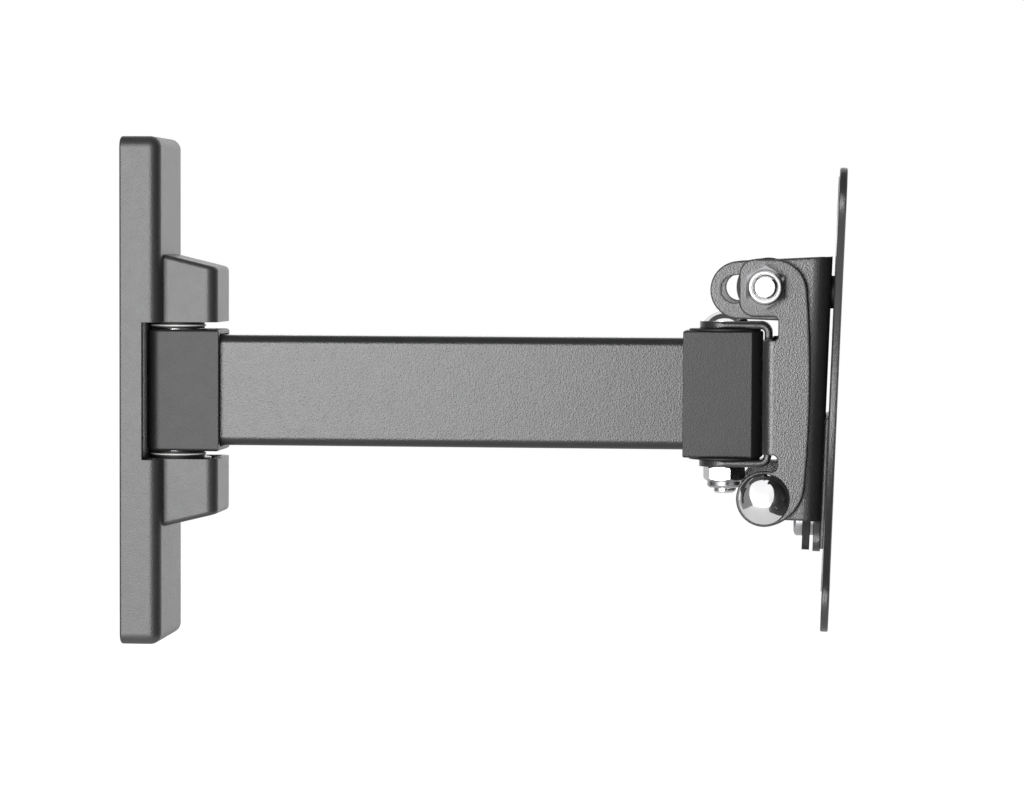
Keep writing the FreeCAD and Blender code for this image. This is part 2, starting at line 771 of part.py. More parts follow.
def wall_end_sleeve():
    half_width = size.sleeve_width / 2
    end = size.pin_axis + size.sleeve_reach
    tail = size.pin_axis - size.sleeve_tail
    plan = [
        (tail + size.sleeve_corner, -half_width),
        (end, -half_width),
        (end, half_width),
        (tail + size.sleeve_corner, half_width),
        Bend(size.sleeve_corner, left=True),
        (tail, half_width - size.sleeve_corner),
        (tail, size.sleeve_corner - half_width),
        Bend(size.sleeve_corner, left=True),
    ]
    blank = padded("sleeve_blank", "XY_Plane", [plan], 2 * half_sleeve, start=-half_sleeve)
    round_edges(blank, size.sleeve_edge, is_level_rim)
    room = tube_room("sleeve_tube_room", size.pin_axis, end + beyond)
    radius = barrel_radius + size.cover_fit
    start = (size.pin_axis, 0, -half_sleeve - beyond)
    barrel_room = rod("sleeve_barrel_room", start, "+Z", radius, 2 * (half_sleeve + beyond))
    return cut("wall_end_sleeve", blank, room, barrel_room)


def head_end_cap():
    """Moulded cap with a nose that is round about the swivel bolt."""
    half_width = size.cap_width / 2
    start_x = swivel_x - size.cap_grip
    crease = swivel_x + root(size.cap_nose * size.cap_nose - half_width * half_width)
    plan = [
        (start_x, -half_width),
        (crease, -half_width),
        Bend(size.cap_nose, left=True),
        (swivel_x + size.cap_nose, 0),
        Bend(size.cap_nose, left=True),
        (crease, half_width),
        (start_x, half_width),
    ]
    blank = padded("cap_blank", "XY_Plane", [plan], 2 * half_cap, start=-half_cap)
    round_edges(blank, size.cap_edge, is_level_rim)
    room = tube_room("cap_tube_room", start_x - beyond, tube_end + size.cover_fit)
    radius = swivel_bush_radius + size.seat_fit
    bore = rod("cap_bush_hole", (swivel_x, 0, -half_cap - beyond), "+Z", radius, 2 * (half_cap + beyond))
    return cut("head_end_cap", blank, room, bore)


def swivel_bush(label, side):
    flange = size.swivel_flange_diameter / 2
    length = size.swivel_bush_length
    bush = flanged_bush(label, bolt_bore, swivel_bush_radius, length, flange, size.swivel_flange)
    return place(bush, (swivel_x, 0, side * half_cap), "+Z" if side > 0 else "-Z")


def swivel_spacer():
    half = half_cap - size.swivel_bush_length
    tube = ring("swivel_spacer", bolt_bore, swivel_bush_radius, -half, half)
    return place(tube, (swivel_x, 0, 0))


def clevis_flange_outline():
    """Side view of the clevis: an upper ear, a bowed edge and a lower ear, with two relief notches."""
    ear_left = pivot_x - size.ear_left
    ear_top = tilt_height + size.ear_top
    ear_bottom = tilt_height - size.ear_bottom
    low_top = size.low_ear_radius - pivot_drop
    notch_end = web_left + size.clevis_bend + size.notch_depth
    notch = size.notch_rounding
    shoulder = bow_shoulder(ear_top - size.ear_shoulder)
    blend = bow_blend()
    blend_end = beyond_point(blend, (pivot_x, -pivot_drop), size.low_ear_blend / low_ear_offset)
    return [
        (ear_left, ear_top - size.ear_corner),
        Bend(size.ear_corner, left=False),
        (ear_left + size.ear_corner, ear_top),
        (shoulder[0], ear_top),
        Bend(size.ear_shoulder, left=False),
        beyond_point(bow_centre, shoulder, size.edge_bow / (size.edge_bow - size.ear_shoulder)),
        Bend(size.edge_bow, left=False),
        beyond_point(bow_centre, blend, size.edge_bow / (size.edge_bow - size.low_ear_blend)),
        Bend(size.low_ear_blend, left=False),
        blend_end,
        Bend(size.low_ear_radius, left=False),
        (pivot_x - size.low_ear_radius, -pivot_drop),
        Bend(size.low_ear_radius, left=False),
        (pivot_x, low_top),
        (notch_end - notch, low_top),
        Bend(notch, left=True),
        (notch_end, low_top + notch),
        (notch_end, -web_half_height - notch),
        Bend(notch, left=True),
        (notch_end - notch, -web_half_height),
        (web_left, -web_half_height),
        (web_left, web_half_height),
        (notch_end - notch, web_half_height),
        Bend(notch, left=True),
        (notch_end, web_half_height + notch),
        (notch_end, ear_bottom - notch),
        Bend(notch, left=True),
        (notch_end - notch, ear_bottom),
        (ear_left + size.ear_corner, ear_bottom),
        Bend(size.ear_corner, left=False),
        (ear_left, ear_bottom + size.ear_corner),
    ]


bow_centre = (pivot_x + size.ear_right - size.edge_bow, size.bow_height)
low_ear_offset = size.low_ear_blend - size.low_ear_radius


def beyond_point(start, through, share):
    """The point on the line from start that lies share times as far as the second point."""
    return tuple(first + (second - first) * share for first, second in zip(start, through))


def bow_shoulder(height):
    """Centre of the ear's large corner, which runs smoothly into the bowed edge."""
    reach = size.edge_bow - size.ear_shoulder
    rise = height - bow_centre[1]
    return (bow_centre[0] + root(reach * reach - rise * rise), height)


def bow_blend():
    """Centre of the curve that runs smoothly from the bowed edge into the lower ear."""
    across = pivot_x - bow_centre[0]
    down = -pivot_drop - bow_centre[1]
    distance = root(across * across + down * down)
    far = size.edge_bow - size.low_ear_blend
    along = (far * far - low_ear_offset * low_ear_offset + distance * distance) / (2 * distance)
    aside = root(far * far - along * along)
    x = bow_centre[0] + (along * across - aside * down) / distance
    z = bow_centre[1] + (along * down + aside * across) / distance
    return (x, z)


def clevis_web():
    """The folded channel between the two flanges."""
    inner_bend = size.clevis_bend - size.sheet
    bend_line = web_left + size.clevis_bend
    half_flat = half_clevis - size.clevis_bend
    end = bend_line + size.notch_depth
    plan = [
        (bend_line, -half_clevis),
        (end, -half_clevis),
        (end, -half_clevis_inside),
        (bend_line, -half_clevis_inside),
        Bend(inner_bend, left=False),
        (web_right, -half_flat),
        (web_right, half_flat),
        Bend(inner_bend, left=False),
        (bend_line, half_clevis_inside),
        (end, half_clevis_inside),
        (end, half_clevis),
        (bend_line, half_clevis),
        Bend(size.clevis_bend, left=True),
        (web_left, half_flat),
        (web_left, -half_flat),
        Bend(size.clevis_bend, left=True),
    ]
    tall = 2 * web_half_height
    return padded("clevis_web", "XY_Plane", [plan], tall, start=-web_half_height)


def clevis_tabs():
    """The strip of the web that folds into the two tabs round the swivel bolt."""
    half_tab = size.tab_width / 2
    outer_bend = size.tab_bend + size.sheet
    tab_end = swivel_x - half_tab
    side = [
        (tab_end, -tab_out),
        (web_right - outer_bend, -tab_out),
        Bend(outer_bend, left=True),
        (web_right, outer_bend - tab_out),
        (web_right, tab_out - outer_bend),
        Bend(outer_bend, left=True),
        (web_right - outer_bend, tab_out),
        (tab_end, tab_out),
        (tab_end, tab_in),
        (web_left - size.tab_bend, tab_in),
        Bend(size.tab_bend, left=False),
        (web_left, tab_in - size.tab_bend),
        (web_left, size.tab_bend - tab_in),
        Bend(size.tab_bend, left=False),
        (web_left - size.tab_bend, -tab_in),
        (tab_end, -tab_in),
    ]
    strip = padded("clevis_strip", "XZ_Plane", [side], size.tab_width)
    round_edges(strip, size.tab_edge, is_side_rim)
    low = -tab_out - beyond
    nose = rod("tab_nose", (swivel_x, 0, low), "+Z", half_tab, -2 * low)
    behind = box("tab_plan", (swivel_x, -half_tab, low), (web_right + beyond, half_tab, -low))
    return common("clevis_tabs", strip, fuse("tab_outline", nose, behind))


def is_side_rim(edge):
    """Edges round the two side faces of a stamped outline."""
    return edge.BoundBox.YLength < tiny


def swivel_clevis():
    sides = padded("clevis_sides", "XZ_Plane", [clevis_flange_outline()], size.clevis_width)
    round_edges(sides, size.sheet_edge, is_side_rim)
    tall = 2 * bolt_span
    between = box(
        "clevis_between",
        (swivel_x - size.clevis_width, -half_clevis_inside, -tall),
        (pivot_x + size.clevis_width, half_clevis_inside, tall),
    )
    room = web_half_height + size.notch_rounding
    bend_room = box(
        "clevis_bend_room",
        (web_left - beyond, -half_clevis - beyond, -room),
        (web_left + size.clevis_bend, half_clevis + beyond, room),
    )
    flanges = cut("clevis_flanges", sides, between, bend_room)
    folded = fuse("clevis_folded", flanges, clevis_web(), clevis_tabs())
    low = -tab_out - beyond
    bores = [rod("clevis_swivel_bore", (swivel_x, 0, low), "+Z", bolt_bore, -2 * low)]
    for name, height in (("pivot", -pivot_drop), ("lock", tilt_height)):
        start = (pivot_x, -half_clevis - beyond, height)
        bores.append(rod(f"clevis_{name}_bore", start, "+Y", bolt_bore, size.clevis_width + 2 * beyond))
    return cut("swivel_clevis", folded, *bores)


def swivel_bolt():
    length = 2 * tab_out + size.nut_height + size.bolt_end
    head_radius = size.swivel_dome_diameter / 2
    bolt = domed_bolt(
        "swivel_bolt", bolt_radius, length, head_radius, size.swivel_dome_height, size.bolt_chamfer
    )
    return place(bolt, (swivel_x, 0, tab_out))


def tilt_bolt(label, height, pointing):
    """A bolt right through both flanges, its domed head on the side that it points to."""
    length = size.clevis_width + size.nut_height + size.bolt_end
    head_radius = size.tilt_dome_diameter / 2
    bolt = domed_bolt(label, bolt_radius, length, head_radius, size.tilt_dome_height, size.bolt_chamfer)
    side = -half_clevis if pointing == "-Y" else half_clevis
    return place(bolt, (pivot_x, side, height), pointing)


def lock_nut(label, point, pointing, turn):
    """Hexagon nut with a round collar whose rolled lip holds a nylon ring."""
    flat = size.nut_flats / 2
    corner = size.nut_flats / root(Size(3.0, "3"))
    collar = size.nut_collar_diameter / 2
    recess = collar - size.nut_collar_wall
    mouth = size.nut_mouth_diameter / 2
    lip = size.nut_height - size.nut_collar_wall
    round_form = turned(
        f"{label}_round_form",
        [
            (bolt_bore, 0),
            (flat, 0),
            (corner, size.nut_chamfer),
            (corner, size.nut_hex_height - size.nut_crown),
            (collar, size.nut_hex_height),
            (collar, size.nut_height - size.nut_lip_rounding),
            Bend(size.nut_lip_rounding, left=True),
            (collar - size.nut_lip_rounding, size.nut_height),
            (mouth, size.nut_height),
            (mouth, lip),
            (recess, lip),
            (recess, size.nut_hex_height),
            (bolt_bore, size.nut_hex_height),
        ],
    )
    hexagon = doc.addObject("Part::Prism", f"{label}_hexagon")
    hexagon.Polygon = 6
    bind(hexagon, "Circumradius", corner)
    bind(hexagon, "Height", size.nut_height)
    hexagon.Placement = FreeCAD.Placement(Vector(), FreeCAD.Rotation(Vector(0, 0, 1), turn.value))
    hexagon.setExpression("Placement.Rotation.Angle", turn.text)
    return place(common(label, round_form, hexagon), point, pointing)


def nut_insert(label, point, pointing):
    outside = size.nut_collar_diameter / 2 - size.nut_collar_wall - size.seat_fit
    top = size.nut_height - size.nut_collar_wall - size.seat_fit
    return place(ring(label, bolt_bore, outside, size.nut_hex_height, top), point, pointing)


def tilt_washers(label, diameter, height):
    washers = []
    for side, start in (("near", -half_clevis_inside), ("far", half_bracket)):
        body = turned_washer(f"{label}_{side}", bolt_bore, diameter / 2, size.washer_thickness)
        washers.append(place(body, (pivot_x, start, height), "+Y"))
    return group(label, *washers)


def turned_washer(label, bore, outside, thickness):
    return turned(label, [(bore, 0), (outside, 0), (outside, thickness), (bore, thickness)])


def polar(radius, angle):
    """A point at a radius from the pivot, its angle counted from upright towards the screen."""
    return (radius * sine(angle), radius * cosine(angle))


def tilt_slot_outline():
    """Curved slot about the pivot, long enough for the whole tilt."""
    half = size.slot_width / 2
    low = -size.rest_tilt - size.tilt_down - size.slot_play
    high = size.tilt_back - size.rest_tilt + size.slot_play
    outer = bolt_span + half
    inner = bolt_span - half
    low_centre = polar(bolt_span, low)
    high_centre = polar(bolt_span, high)
    low_end = (low_centre[0] - half * cosine(low), low_centre[1] + half * sine(low))
    high_end = (high_centre[0] + half * cosine(high), high_centre[1] - half * sine(high))
    return [
        polar(outer, low),
        Bend(outer, left=False),
        polar(outer, high),
        Bend(half, left=False),
        high_end,
        Bend(half, left=False),
        polar(inner, high),
        Bend(inner, left=True),
        polar(inner, low),
        Bend(half, left=False),
        low_end,
        Bend(half, left=False),
    ]


tongue_height = bolt_span - size.tongue_drop
tongue_top = (
    -size.tongue_reach - size.tongue_radius * sine(size.top_slope),
    tongue_height + size.tongue_radius * cosine(size.top_slope),
)
top_rise = sine(size.top_slope) / cosine(size.top_slope)
bracket_top = tongue_top[1] + (size.web_reach + beyond - tongue_top[0]) * top_rise


def bracket_side_outline():
    """Side view of the tilt bracket, seen from the pivot: slotted tongue, waist, ear and web."""
    outside = size.web_reach + beyond
    tongue_bottom = tongue_height - size.tongue_radius
    tail_x = web_inside - size.sheet / 2
    ear = size.bracket_ear
    ear_end = (-ear * sine(size.ear_slope), ear * cosine(size.ear_slope))
    ear_rise = sine(size.ear_slope) / cosine(size.ear_slope)
    waist_z = ear_end[1] + (size.waist_low - ear_end[0]) * ear_rise
    lean_across = sine(size.waist_lean)
    lean_up = cosine(size.waist_lean)
    throat = size.throat_radius
    throat_z = tongue_bottom - throat
    climb = (throat_z - waist_z - throat * lean_across) / lean_up
    throat_x = size.waist_low + climb * lean_across - throat * lean_up
    return [
        tongue_top,
        (outside, bracket_top),
        (outside, -size.tail_length),
        (tail_x, -size.tail_length),
        (tail_x, -size.flange_bottom),
        (root(ear * ear - size.flange_bottom * size.flange_bottom), -size.flange_bottom),
        Bend(ear, left=False),
        (-ear, 0),
        Bend(ear, left=False),
        ear_end,
        (size.waist_low, waist_z),
        (throat_x + throat * lean_up, throat_z - throat * lean_across),
        Bend(throat, left=True),
        (throat_x, tongue_bottom),
        (-size.tongue_reach, tongue_bottom),
        Bend(size.tongue_radius, left=False),
        (-size.tongue_reach - size.tongue_radius, tongue_height),
        Bend(size.tongue_radius, left=False),
    ]


def bracket_front_outline():
    """Front view of the tilt bracket: full width, with a narrower tail at the bottom."""
    half = half_bracket + beyond
    half_tail = size.tail_width / 2
    shoulder = size.tail_shoulder
    bottom = -size.tail_length
    right = [
        (half_tail - size.tail_corner, bottom),
        Bend(size.tail_corner, left=True),
        (half_tail, bottom + size.tail_corner),
        (half_tail, -size.flange_bottom - shoulder),
        Bend(shoulder, left=False),
        (half_tail + shoulder, -size.flange_bottom),
        (half, -size.flange_bottom),
        (half, bracket_top),
    ]
    left = [item if isinstance(item, Bend) else (-item[0], item[1]) for item in reversed(right)]
    return right + left


def bracket_channel():
    """The folded channel of the tilt bracket, open towards the wall."""
    inner_bend = size.bracket_bend - size.sheet
    bend_line = size.web_reach - size.bracket_bend
    half_flat = bracket_half_flat
    inside = half_bracket - size.sheet
    end = -size.tongue_reach - size.tongue_radius - beyond
    plan = [
        (end, -half_bracket),
        (bend_line, -half_bracket),
        Bend(size.bracket_bend, left=True),
        (size.web_reach, -half_flat),
        (size.web_reach, half_flat),
        Bend(size.bracket_bend, left=True),
        (bend_line, half_bracket),
        (end, half_bracket),
        (end, inside),
        (bend_line, inside),
        Bend(inner_bend, left=False),
        (web_inside, half_flat),
        (web_inside, -half_flat),
        Bend(inner_bend, left=False),
        (bend_line, -inside),
        (end, -inside),
    ]
    low = -size.tail_length - beyond
    return padded("bracket_channel", "XY_Plane", [plan], bracket_top + beyond - low, start=low)


plate_rivet_places = [
    (side * sideways, height)
    for sideways, height in (
        (bracket_half_flat - rivet_head_radius - size.upper_rivet_inset, bolt_span - size.upper_rivet_drop),
        (size.lower_rivet_spacing / 2, size.lower_rivet_height),
    )
    for side in (1, -1)
]


def rivet_holes(label):
    """Cutters for the plate rivets."""
    radius = rivet_radius + size.seat_fit
    return [
        rod(f"{label}_rivet_hole_{i}", (0, y, z), "+X", radius, plate_front + beyond)
        for i, (y, z) in enumerate(plate_rivet_places)
    ]


def lean(thing):
    """Puts a piece made in the pivot's frame at the pivot, with the tilt that it has at rest."""
    turn = FreeCAD.Rotation(Vector(0, 1, 0), size.rest_tilt.value)
    thing.Placement = FreeCAD.Placement(Vector(pivot_x.value, 0, -pivot_drop.value), turn)
    thing.setExpression("Placement.Base.x", pivot_x.text)
    thing.setExpression("Placement.Base.z", (-pivot_drop).text)
    thing.setExpression("Placement.Rotation.Angle", size.rest_tilt.text)
    return thing


def tilt_bracket():
    side_view = padded("bracket_side", "XZ_Plane", [bracket_side_outline()], 2 * half_bracket)
    round_edges(side_view, size.sheet_edge, is_side_rim)
    reach = size.web_reach + size.tongue_reach + size.tongue_radius + 2 * beyond
    front_view = padded(
        "bracket_front", "YZ_Plane", [bracket_front_outline()], reach, start=size.web_reach + beyond - reach
    )
    folded = common("bracket_folded", bracket_channel(), side_view, front_view)
    slots = padded("bracket_slots", "XZ_Plane", [tilt_slot_outline()], size.clevis_width)
    pivot = rod("bracket_pivot_bore", (0, -half_clevis, 0), "+Y", bolt_bore, size.clevis_width)
    screw_radius = size.lock_screw_diameter / 2 + size.run_fit
    screw = rod("bracket_screw_hole", (0, 0, -size.lock_screw_drop), "+X", screw_radius, plate_front)
    return lean(cut("tilt_bracket", folded, slots, pivot, screw, *rivet_holes("bracket")))


def screen_plate_outline(middle):
    """Four round lugs about the wide holes, joined smoothly by hollow sides."""
    lug = size.screen_lug
    hollow = size.screen_hollow
    hole = size.wide_pattern / 2
    centres = hollow + lug
    aside = root(centres * centres - hole * hole)
    near = hole + lug * aside / centres
    far = hole - lug * hole / centres
    tip = hole + lug * root(Size(0.5, "0.5"))
    corner = [
        (near, far),
        Bend(lug, left=True),
        (tip, tip),
        Bend(lug, left=True),
        (far, near),
        Bend(hollow, left=False),
    ]
    outline = []
    for _ in range(4):
        outline += [item if isinstance(item, Bend) else (item[0], middle + item[1]) for item in corner]
        corner = [item if isinstance(item, Bend) else (-item[1], item[0]) for item in corner]
    return outline


def screen_plate():
    middle = bolt_span / 2
    outline = screen_plate_outline(middle)
    blank = padded("screen_plate_blank", "YZ_Plane", [outline], size.screen_plate_sheet, start=plate_back)
    round_edges(blank, size.screen_plate_edge, lambda edge: edge.BoundBox.XLength < tiny)
    holes = rivet_holes("screen_plate")
    for name, spacing in (("wide", size.wide_pattern), ("narrow", size.narrow_pattern)):
        for i, (across, up) in enumerate(((1, 1), (1, -1), (-1, 1), (-1, -1))):
            start = (0, across * spacing / 2, middle + up * spacing / 2)
            radius = size.screen_hole / 2
            holes.append(rod(f"{name}_hole_{i}", start, "+X", radius, plate_front + beyond))
    return lean(cut("screen_plate", blank, *holes))


def plate_spacers():
    discs = []
    for i, (y, z) in enumerate(plate_rivet_places[:2]):
        disc = turned_washer(
            f"spacer_disc_{i}", rivet_radius + size.seat_fit, size.spacer_disc / 2, size.plate_gap
        )
        discs.append(place(disc, (size.web_reach, y, z), "+X"))
    return lean(group("plate_spacers", *discs))


def spacer_strip():
    half = size.strip_width / 2
    blank = box(
        "strip_blank", (size.web_reach, -half, -size.strip_bottom), (plate_back, half, size.strip_top)
    )
    return lean(cut("spacer_strip", blank, *rivet_holes("strip")[2:]))


def plate_rivets():
    length = plate_front - web_inside
    rivets = []
    for i, (y, z) in enumerate(plate_rivet_places):
        rivet = domed_bolt(
            f"plate_rivet_{i}", rivet_radius, length, rivet_head_radius, size.plate_rivet_head_height
        )
        rivets.append(place(rivet, (web_inside, y, z), "-X"))
    return lean(group("plate_rivets", *rivets))


lock_plate_front = web_inside - size.lock_washer_thickness
lock_plate_back = lock_plate_front - size.lock_plate_sheet
lock_bore = size.lock_screw_diameter / 2 + size.run_fit


def lock_plate():
    half_height = (size.tail_length - size.lock_plate_top) / 2
    middle = -(size.tail_length + size.lock_plate_top) / 2
    outline = rounded_rectangle(size.lock_plate_width / 2, half_height, size.lock_plate_corner, middle)
    blank = padded(
        "lock_plate_blank", "YZ_Plane", [outline], size.lock_plate_sheet, start=lock_plate_back
    )
    hole = rod("lock_plate_hole", (0, 0, -size.lock_screw_drop), "+X", lock_bore, size.web_reach)
    return lean(cut("lock_plate", blank, hole))


def lock_washer():
    body = turned_washer(
        "lock_washer_body", lock_bore, size.lock_washer_diameter / 2, size.lock_washer_thickness
    )
    return lean(group("lock_washer", place(body, (lock_plate_front, 0, -size.lock_screw_drop), "+X")))


def lock_screw():
    """Pan head screw with a cross recess, its head towards the wall."""
    head = size.lock_head_diameter / 2
    length = size.web_reach - lock_plate_back
    radius = size.lock_screw_diameter / 2
    crown = size.lock_head_crown
    body = turned(
        "lock_screw_body",
        [
            (0, -length),
            (radius, -length),
            (radius, 0),
            (head, 0),
            (head, size.lock_head_height - crown),
            Bend(crown, left=True),
            (head - crown, size.lock_head_height),
            (0, size.lock_head_height),
        ],
    )
    height = -size.lock_screw_drop
    place(body, (lock_plate_back, 0, height), "-X")
    face = lock_plate_back - size.lock_head_height
    depth = face + size.lock_slot_depth
    half_long = size.lock_slot_length / 2
    half_thin = size.lock_slot_width / 2
    recesses = []
    for name, across, up in (("level", half_long, half_thin), ("upright", half_thin, half_long)):
        low = (face - beyond, -across, height - up)
        recesses.append(box(f"{name}_recess", low, (depth, across, height + up)))
    return lean(cut("lock_screw", body, *recesses))


def build():
    """Makes every sub-part and returns them in the order wall, arm, swivel head, tilt head."""
    below = (swivel_x, 0, -tab_out)
    near_lock = (pivot_x, -half_clevis, tilt_height)
    far_pivot = (pivot_x, half_clevis, -pivot_drop)
    return [
        wall_plate(),
        pivot_ear("pivot_ear_upper", 1),
        pivot_ear("pivot_ear_lower", -1),
        ear_rivets(),
        wall_cover(),
        place(wall_pivot_pin(), (size.pin_axis, 0, 0)),
        pivot_pin_clip(),
        arm_tube(),
        pivot_barrel(),
        pivot_bush("pivot_bush_upper", 1),
        pivot_bush("pivot_bush_lower", -1),
        wall_end_sleeve(),
        head_end_cap(),
        swivel_bush("swivel_bush_upper", 1),
        swivel_bush("swivel_bush_lower", -1),
        swivel_spacer(),
        swivel_clevis(),
        swivel_bolt(),
        lock_nut("swivel_nut", below, "-Z", size.swivel_nut_turn),
        nut_insert("swivel_nut_ring", below, "-Z"),
        tilt_bolt("tilt_pivot_bolt", -pivot_drop, "-Y"),
        lock_nut("tilt_pivot_nut", far_pivot, "+Y", size.tilt_nut_turn),
        nut_insert("tilt_pivot_nut_ring", far_pivot, "+Y"),
        tilt_bolt("tilt_lock_bolt", tilt_height, "+Y"),
        lock_nut("tilt_lock_nut", near_lock, "-Y", size.tilt_nut_turn),
        nut_insert("tilt_lock_nut_ring", near_lock, "-Y"),
        tilt_washers("tilt_lock_washers", size.upper_washer_diameter, tilt_height),
        tilt_washers("tilt_pivot_washers", size.lower_washer_diameter, -pivot_drop),
        tilt_bracket(),
        screen_plate(),
        plate_spacers(),
        spacer_strip(),
        plate_rivets(),
        lock_plate(),
        lock_washer(),
        lock_screw(),
    ]


def check(pieces):
    """Stops if an object of the document failed, or if a sub-part isn't whole."""
    for thing in doc.Objects:
        if "Invalid" in thing.State or "Error" in thing.State:
            raise RuntimeError(f"{thing.Label} failed: {thing.State}")
    for piece in pieces:
        if piece.Shape.isNull() or not piece.Shape.isValid() or not piece.Shape.Solids:
            raise RuntimeError(f"{piece.Label} has no valid solid")


def write(pieces):
    os.makedirs("parts", exist_ok=True)
    for piece in pieces:
        solids = piece.Shape.Solids
        shape = solids[0] if len(solids) == 1 else piece.Shape
        shape.exportStep(os.path.join("parts", f"{piece.Label}.step"))
        print(f"{piece.Label}: {len(solids)} solid, {piece.Shape.Volume:.1f} mm3")


pieces = build()
doc.recompute()
check(pieces)
write(pieces)
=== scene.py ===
# %% [markdown]
# # A swivel wall mount for a screen
# This lesson dresses a finished CAD model. Every solid already has its place and its movement, so the
# script adds what a photograph shows and a solid lacks: finishes, fine metalwork, light and a camera.
# All lengths are in metres, in the CAD model's own frame: X runs out of the wall along the arm, Z is up.

# %% Load the frame
import json
import math

import bmesh
import bpy
from mathutils import Matrix, Quaternion, Vector


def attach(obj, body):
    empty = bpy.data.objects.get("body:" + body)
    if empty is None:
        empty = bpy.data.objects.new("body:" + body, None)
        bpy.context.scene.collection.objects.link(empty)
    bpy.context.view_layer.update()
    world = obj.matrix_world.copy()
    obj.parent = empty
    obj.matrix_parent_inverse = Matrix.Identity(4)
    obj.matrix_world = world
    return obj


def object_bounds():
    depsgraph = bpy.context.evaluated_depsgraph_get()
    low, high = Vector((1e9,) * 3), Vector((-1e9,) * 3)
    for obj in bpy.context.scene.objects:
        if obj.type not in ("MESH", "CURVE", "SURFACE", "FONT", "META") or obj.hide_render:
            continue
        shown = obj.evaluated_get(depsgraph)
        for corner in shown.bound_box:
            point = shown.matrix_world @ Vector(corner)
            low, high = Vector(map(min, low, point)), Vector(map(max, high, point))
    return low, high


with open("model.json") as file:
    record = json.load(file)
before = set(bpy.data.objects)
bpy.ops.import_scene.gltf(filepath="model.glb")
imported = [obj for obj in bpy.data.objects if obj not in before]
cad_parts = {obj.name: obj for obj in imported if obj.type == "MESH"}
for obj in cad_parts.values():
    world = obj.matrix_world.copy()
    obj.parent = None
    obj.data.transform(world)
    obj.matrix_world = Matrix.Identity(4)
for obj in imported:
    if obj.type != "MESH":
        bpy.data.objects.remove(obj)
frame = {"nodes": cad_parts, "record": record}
cad_low, cad_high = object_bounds()
MM = 0.001
print(len(frame["nodes"]), "solids, size in mm", [round(side / MM, 1) for side in cad_high - cad_low])

# %% [markdown]
# ## The camera
# The real picture was taken from the side with a long lens, level with the top of the head and straight
# along the screen plate, which shows as a thin line. A long lens keeps the arm's edges nearly parallel.
# A camera could follow a target object, but three small angles say the same and move nothing else.
# The camera comes first, because every finish is judged through it.

# %% Camera
lens_place = Vector((0.189, -0.9118, 0.039))
turn_left = math.radians(5.289)
look_down = math.radians(2.663)
roll = math.radians(0.25)

camera_lens = bpy.data.cameras.new("side_camera")
camera_lens.sensor_width = 36.0
camera_lens.lens = 118.96
camera = bpy.data.objects.new("side_camera", camera_lens)
camera.location = lens_place
aim = Vector((
    -math.sin(turn_left) * math.cos(look_down),
    math.cos(turn_left) * math.cos(look_down),
    -math.sin(look_down),
)).to_track_quat("-Z", "Y")
camera.rotation_mode = "QUATERNION"
camera.rotation_quaternion = aim @ Quaternion((0.0, 0.0, 1.0), roll)
bpy.context.scene.collection.objects.link(camera)
bpy.context.scene.camera = camera
bpy.context.scene.view_settings.view_transform = "Standard"
print("camera", round(-lens_place.y, 2), "m beside the arm")

# %% [markdown]
# ## The backdrop
# The picture has a plain white background. More light would bleach the object before it made the paper
# white, so the world shows white to the rays that see it, from the camera, a mirror or through glass,
# while the light that it gives to the object stays low.

# %% World
WHITE = (1.0, 1.0, 1.0, 1.0)
WORLD_LIGHT = 0.25


def larger(tree, first, second):
    """A socket with the larger of two numbers."""
    node = tree.nodes.new("ShaderNodeMath")
    node.operation = "MAXIMUM"
    tree.links.new(first, node.inputs[0])
    tree.links.new(second, node.inputs[1])
    return node.outputs[0]


def seen_directly(tree):
    """A socket that is 1 for rays from the camera, from a mirror or through glass."""
    rays = tree.nodes.new("ShaderNodeLightPath").outputs
    mirrored = larger(tree, rays["Is Camera Ray"], rays["Is Glossy Ray"])
    return larger(tree, mirrored, rays["Is Transmission Ray"])


world = bpy.data.worlds.new("white_backdrop")
bpy.context.scene.world = world
world.use_nodes = True
tree = world.node_tree
tree.nodes.clear()
mixed = tree.nodes.new("ShaderNodeMixShader")
tree.links.new(seen_directly(tree), mixed.inputs["Fac"])
for socket, strength in ((1, WORLD_LIGHT), (2, 1.0)):
    sky = tree.nodes.new("ShaderNodeBackground")
    sky.inputs["Color"].default_value = WHITE
    sky.inputs["Strength"].default_value = strength
    tree.links.new(sky.outputs[0], mixed.inputs[socket])
world_out = tree.nodes.new("ShaderNodeOutputWorld")
tree.links.new(mixed.outputs[0], world_out.inputs["Surface"])
print("world shows white and gives", WORLD_LIGHT)


# %% [markdown]
# ## The floor
# A pale studio floor lies well below the mount. A curved paper sweep would do as well, but a level panel
# is simple, and the same trick as in the world blends it into the white: it glows a little for the rays
# that see it and still takes the object's shadow.

# %% Floor
FLOOR_LEVEL = -0.5
FLOOR_REACH = 4.0
FLOOR_GREY = 0.4
GLOW_WHEN_SEEN = 0.5
GLOW_FOR_CAMERA = 0.4


def stage_panel(name, centre, across, up):
    """A flat four-cornered stage panel round a centre, spanned by two half-side vectors."""
    shape = bmesh.new()
    bmesh.ops.create_grid(shape, x_segments=1, y_segments=1, size=1.0)
    normal = across.cross(up).normalized()
    turn = Matrix((across, up, normal)).transposed().to_4x4()
    bmesh.ops.transform(shape, matrix=Matrix.Translation(centre) @ turn, verts=shape.verts)
    mesh = bpy.data.meshes.new(name)
    shape.to_mesh(mesh)
    shape.free()
    panel = bpy.data.objects.new(name, mesh)
    bpy.context.scene.collection.objects.link(panel)
    return panel


